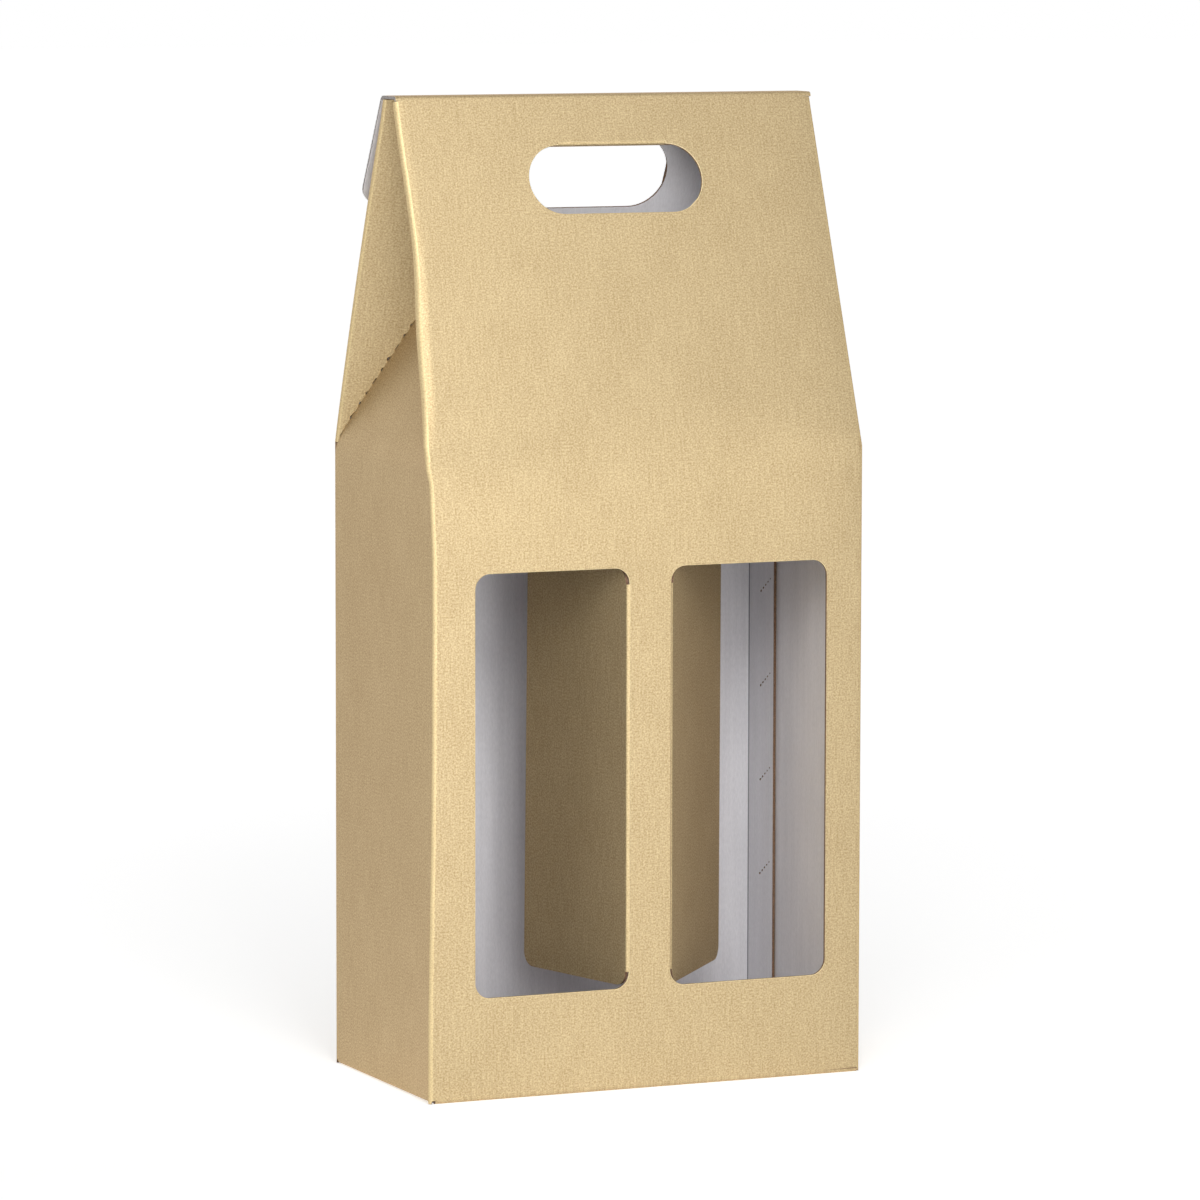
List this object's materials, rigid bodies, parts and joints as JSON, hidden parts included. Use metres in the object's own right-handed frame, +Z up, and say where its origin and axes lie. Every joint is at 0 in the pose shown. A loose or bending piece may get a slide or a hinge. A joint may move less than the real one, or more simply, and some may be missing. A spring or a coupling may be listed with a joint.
{
  "type": "two-bottle wine carrier",
  "caption": "Folded board carrier for two wine bottles: windowed box body, gusseted gable top with a cut hand hole, and a hooked-over rear flap.",
  "frame": {"origin": "centre of the base, on the surface the carrier stands on", "axes": "+Z up, -Y out of the front with the two windows, +X to the carrier's right seen from the front"},
  "size_m": [0.1806, 0.098, 0.3778],
  "materials": {
    "board": "satin gold laminate outside, plain grey inside"
  },
  "bodies": {
    "carrier": {"front_wall": "board", "back_wall": "board", "left_wall": "board", "right_wall": "board", "glue_flap": "board", "bottom_front_flap": "board", "bottom_back_flap": "board", "bottom_left_flap": "board", "bottom_right_flap": "board"},
    "front_slope": {"front_slope": "board"},
    "back_slope": {"back_slope": "board"},
    "ridge_strip": {"ridge_strip": "board"},
    "rear_flap": {"rear_flap": "board"},
    "handle_tongue": {"handle_tongue": "board"},
    "window_flap_left": {"window_flap_left": "board"},
    "window_flap_right": {"window_flap_right": "board"},
    "gusset_left_centre": {"gusset_left_centre": "board"},
    "gusset_left_front": {"gusset_left_front": "board"},
    "gusset_left_back": {"gusset_left_back": "board"},
    "gusset_right_centre": {"gusset_right_centre": "board"},
    "gusset_right_front": {"gusset_right_front": "board"},
    "gusset_right_back": {"gusset_right_back": "board"}
  },
  "joints": [
    {"name": "gable_open", "type": "hinge", "parent": "carrier", "child": "front_slope", "pos_m": [0, -0.049, 0.2435], "axis": [1, 0, 0], "range_deg": [0, 17.68]},
    {"name": "back_slope_crease", "type": "hinge", "parent": "carrier", "child": "back_slope", "pos_m": [0, 0.049, 0.2435], "axis": [1, 0, 0], "range_deg": [-18.18, 0]},
    {"name": "ridge_crease", "type": "hinge", "parent": "front_slope", "child": "ridge_strip", "pos_m": [0, -0.0062, 0.3778], "axis": [1, 0, 0], "range_deg": [0, 177.3]},
    {"name": "rear_flap_crease", "type": "hinge", "parent": "ridge_strip", "child": "rear_flap", "pos_m": [0, 0.0078, 0.3778], "axis": [1, 0, 0], "range_deg": [0, 141.94]},
    {"name": "gusset_left_centre_crease", "type": "hinge", "parent": "carrier", "child": "gusset_left_centre", "pos_m": [-0.09, 0, 0.2435], "axis": [0, 1, 0], "range_deg": [-31.83, 0]},
    {"name": "gusset_left_front_crease", "type": "hinge", "parent": "front_slope", "child": "gusset_left_front", "pos_m": [-0.09, -0.04757, 0.24305], "axis": [0.0227, 0.3036, 0.9525], "range_deg": [0, 61.4]},
    {"name": "gusset_left_back_crease", "type": "hinge", "parent": "back_slope", "child": "gusset_left_back", "pos_m": [-0.09, 0.04757, 0.24305], "axis": [0.0227, -0.3036, 0.9525], "range_deg": [-61.4, 0]},
    {"name": "gusset_right_centre_crease", "type": "hinge", "parent": "carrier", "child": "gusset_right_centre", "pos_m": [0.09, 0, 0.2435], "axis": [0, 1, 0], "range_deg": [0, 31.83]},
    {"name": "gusset_right_front_crease", "type": "hinge", "parent": "front_slope", "child": "gusset_right_front", "pos_m": [0.09, -0.04757, 0.24305], "axis": [-0.0227, 0.3036, 0.9525], "range_deg": [-61.4, 0]},
    {"name": "gusset_right_back_crease", "type": "hinge", "parent": "back_slope", "child": "gusset_right_back", "pos_m": [0.09, 0.04757, 0.24305], "axis": [-0.0227, -0.3036, 0.9525], "range_deg": [0, 61.4]},
    {"name": "tongue_crease", "type": "hinge", "parent": "front_slope", "child": "handle_tongue", "pos_m": [0, -0.0111, 0.35847], "axis": [1, 0, 0], "range_deg": [-104.68, 0]},
    {"name": "window_flap_left_crease", "type": "hinge", "parent": "carrier", "child": "window_flap_left", "pos_m": [-0.0087, -0.0478, 0.1196], "axis": [0, 0, 1], "range_deg": [-14, 76]},
    {"name": "window_flap_right_crease", "type": "hinge", "parent": "carrier", "child": "window_flap_right", "pos_m": [0.0087, -0.0478, 0.1196], "axis": [0, 0, 1], "range_deg": [-49, 41]}
  ],
  "couplings": [
    {"joint": "back_slope_crease", "follows": "gable_open", "ratio": -1},
    {"joint": "ridge_crease", "follows": "gable_open", "ratio": 10},
    {"joint": "rear_flap_crease", "follows": "gable_open", "ratio": 8},
    {"joint": "gusset_left_centre_crease", "follows": "gable_open", "ratio": -1.7718},
    {"joint": "gusset_left_front_crease", "follows": "gable_open", "ratio": 3.4443},
    {"joint": "gusset_left_back_crease", "follows": "gable_open", "ratio": -3.4443},
    {"joint": "gusset_right_centre_crease", "follows": "gable_open", "ratio": 1.7718},
    {"joint": "gusset_right_front_crease", "follows": "gable_open", "ratio": -3.4443},
    {"joint": "gusset_right_back_crease", "follows": "gable_open", "ratio": 3.4443}
  ]
}
